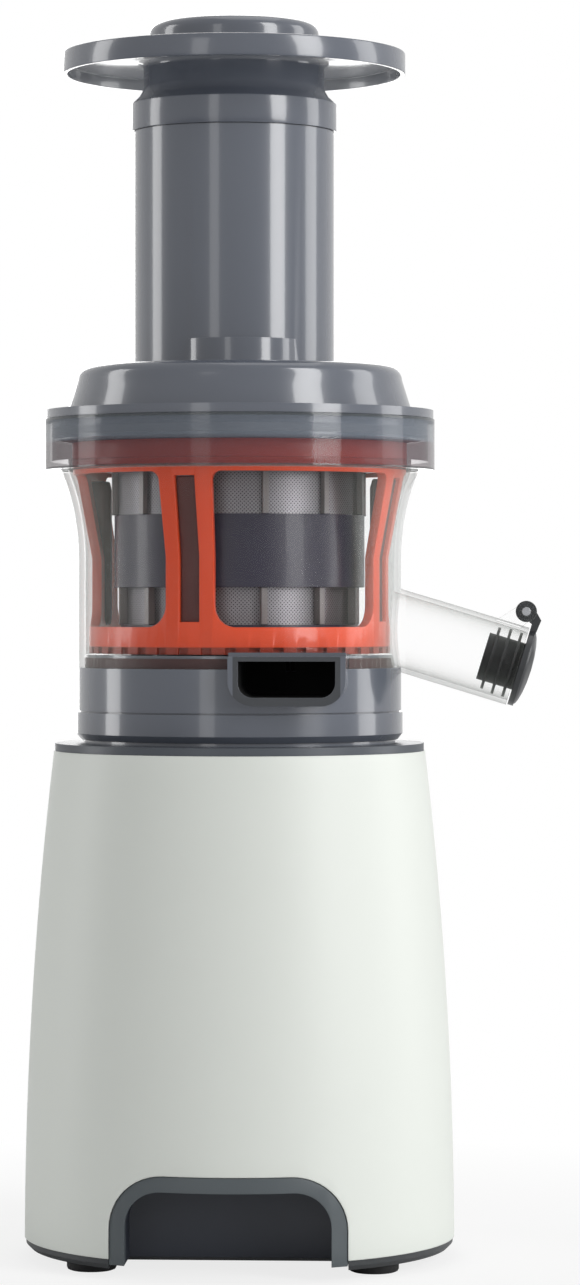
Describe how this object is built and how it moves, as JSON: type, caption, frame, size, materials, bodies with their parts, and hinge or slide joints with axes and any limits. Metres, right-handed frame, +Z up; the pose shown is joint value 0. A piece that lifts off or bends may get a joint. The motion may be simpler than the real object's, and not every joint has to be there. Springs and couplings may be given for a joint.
{
  "type": "cold press juicer",
  "caption": "Upright cold press juicer: tapered power base, clear bowl with juice spout, strainer, turning wiper cage and press scroll, tall feed tube, round food tray and pusher",
  "frame": {"origin": "On the main upright axis of the base and bowl, at floor level between the feet", "axes": "+Z up along the main axis, -Y to the front where the grip arch and pulp outlet are, +X to the side with the juice spout"},
  "size_m": [0.1802, 0.1556, 0.4327],
  "materials": {
    "shell_white": "white moulded plastic, satin gloss",
    "deck_grey": "dark grey moulded plastic",
    "plate_dark": "near black moulded plastic",
    "rubber_black": "black rubber",
    "grip_grey": "dark grey moulded plastic",
    "steel": "turned steel",
    "motor_steel": "zinc plated sheet steel",
    "board_green": "green circuit board",
    "switch_black": "black moulded plastic",
    "slate_plastic": "slate grey moulded plastic, satin gloss",
    "clear_plastic": "clear copolyester",
    "gear_ivory": "ivory acetal",
    "strainer_dark": "dark violet grey moulded plastic",
    "mesh_steel": "etched stainless steel mesh",
    "wiper_orange": "orange moulded plastic",
    "wiper_silicone": "dark silicone",
    "scroll_grey": "slate grey moulded plastic",
    "cap_dark": "dark grey moulded plastic",
    "stopper_black": "black silicone",
    "seal_grey": "grey silicone"
  },
  "bodies": {
    "base": {"base_shell": "shell_white", "top_deck": "deck_grey", "base_plate": "plate_dark", "rubber_feet": "rubber_black", "grip_recess": "grip_grey", "base_screws": "steel", "motor_can": "motor_steel", "motor_cap": "plate_dark", "gearbox_housing": "plate_dark", "motor_carrier": "motor_steel", "output_bearing": "steel", "shaft_seal": "rubber_black", "control_board": "board_green", "switch_bezel": "plate_dark", "cord_gland": "rubber_black"},
    "rocker": {"switch_rocker": "switch_black"},
    "drive": {"drive_shaft": "steel"},
    "bowl": {"bowl_base": "slate_plastic", "bowl_wall": "clear_plastic", "bowl_gasket": "rubber_black", "idler_pins": "steel", "strainer_frame": "strainer_dark", "strainer_mesh_lower": "mesh_steel", "strainer_mesh_upper": "mesh_steel"},
    "idler_left": {"idler_gear_left": "gear_ivory"},
    "idler_right": {"idler_gear_right": "gear_ivory"},
    "wiper": {"wiper_frame": "wiper_orange", "wiper_blades": "wiper_silicone"},
    "scroll": {"scroll": "scroll_grey", "scroll_gear": "scroll_grey", "scroll_socket": "steel"},
    "spout_closure": {"spout_cap": "cap_dark", "spout_stopper": "stopper_black", "cap_hinge_pin": "steel"},
    "lid": {"lid": "slate_plastic", "lid_bush": "gear_ivory", "lid_seal": "seal_grey"},
    "tray": {"food_tray": "slate_plastic"},
    "pusher": {"pusher_body": "slate_plastic", "pusher_cap": "slate_plastic"}
  },
  "joints": [
    {"name": "bowl_lift", "type": "slide", "parent": "base", "child": "bowl", "axis": [0, 0, 1], "range_m": [0, 0.07]},
    {"name": "lid_lift", "type": "slide", "parent": "bowl", "child": "lid", "axis": [0, 0, 1], "range_m": [0, 0.08]},
    {"name": "tray_lift", "type": "slide", "parent": "lid", "child": "tray", "axis": [0, 0, 1], "range_m": [0, 0.08]},
    {"name": "pusher_slide", "type": "slide", "parent": "tray", "child": "pusher", "axis": [0, 0, 1], "range_m": [0, 0.088]},
    {"name": "scroll_spin", "type": "hinge", "parent": "bowl", "child": "scroll", "pos_m": [0, 0, 0.25], "axis": [0, 0, 1], "continuous": true},
    {"name": "drive_spin", "type": "hinge", "parent": "base", "child": "drive", "pos_m": [0, 0, 0.18], "axis": [0, 0, 1], "continuous": true},
    {"name": "idler_left_spin", "type": "hinge", "parent": "bowl", "child": "idler_left", "pos_m": [-0.02277, -0.02277, 0.213], "axis": [0, 0, 1], "continuous": true},
    {"name": "idler_right_spin", "type": "hinge", "parent": "bowl", "child": "idler_right", "pos_m": [0.02277, 0.02277, 0.213], "axis": [0, 0, 1], "continuous": true},
    {"name": "wiper_spin", "type": "hinge", "parent": "bowl", "child": "wiper", "pos_m": [0, 0, 0.24], "axis": [0, 0, 1], "continuous": true},
    {"name": "cap_swing", "type": "hinge", "parent": "bowl", "child": "spout_closure", "pos_m": [0.09995, 0, 0.22446], "axis": [0, -1, 0], "range_deg": [0, 110]},
    {"name": "switch_rock", "type": "hinge", "parent": "base", "child": "rocker", "pos_m": [0, 0.07033, 0.045], "axis": [1, 0, 0], "range_deg": [-9, 9]}
  ],
  "couplings": [
    {"joint": "drive_spin", "follows": "scroll_spin", "ratio": 1},
    {"joint": "idler_left_spin", "follows": "scroll_spin", "ratio": -1.3333},
    {"joint": "idler_right_spin", "follows": "scroll_spin", "ratio": -1.3333},
    {"joint": "wiper_spin", "follows": "scroll_spin", "ratio": -0.4}
  ]
}
